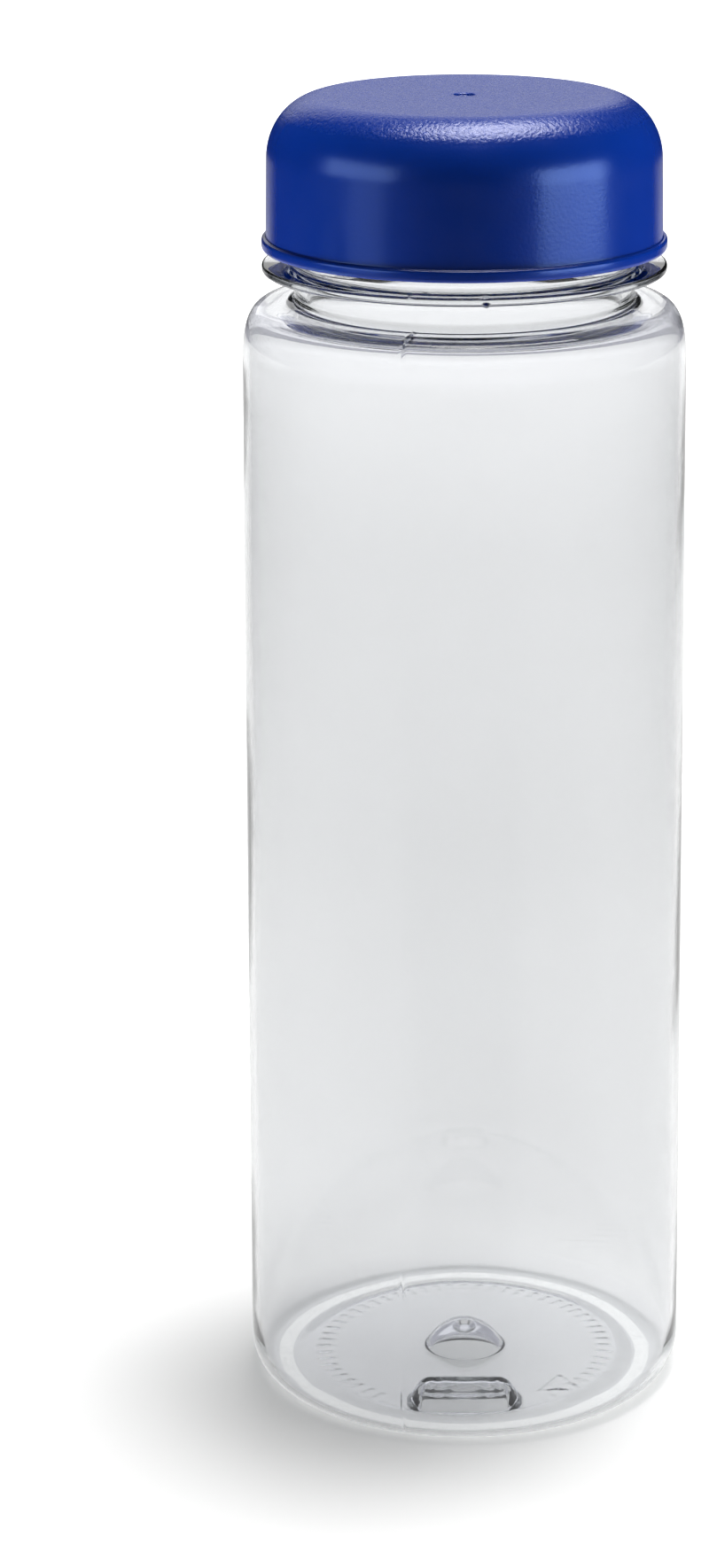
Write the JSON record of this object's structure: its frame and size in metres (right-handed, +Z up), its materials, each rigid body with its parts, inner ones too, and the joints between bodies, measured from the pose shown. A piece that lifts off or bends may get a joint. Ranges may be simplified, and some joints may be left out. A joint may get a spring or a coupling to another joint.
{
  "type": "screw-cap water bottle",
  "caption": "Tall clear cylindrical drinking bottle with a short threaded neck, a support ring, a push-up base and a blue domed screw cap with a seal ring.",
  "frame": {"origin": "centre of the flat standing ring, on the surface that the bottle stands on", "axes": "+Z up along the bottle's axis, from the base to the cap; -Y towards the side with the base lug, which is the side in the view"},
  "size_m": [0.065, 0.065, 0.1952],
  "materials": {
    "clear_plastic": "clear, glossy, colourless",
    "blue_plastic": "royal blue, satin sides and fine matte top",
    "white_silicone": "soft, translucent white, smooth"
  },
  "bodies": {
    "bottle": {"bottle_body": "clear_plastic"},
    "seal": {"seal_ring": "white_silicone"},
    "cap": {"screw_cap": "blue_plastic"}
  },
  "joints": [
    {"name": "cap_rise", "type": "slide", "parent": "bottle", "child": "seal", "axis": [0, 0, 1], "range_m": [0, 0.02]},
    {"name": "cap_turn", "type": "hinge", "parent": "seal", "child": "cap", "pos_m": [0, 0, 0.17287], "axis": [0, 0, 1], "range_deg": [0, 1440]}
  ],
  "couplings": [
    {"joint": "cap_rise", "follows": "cap_turn", "m_per_rad": 0.00079577}
  ]
}
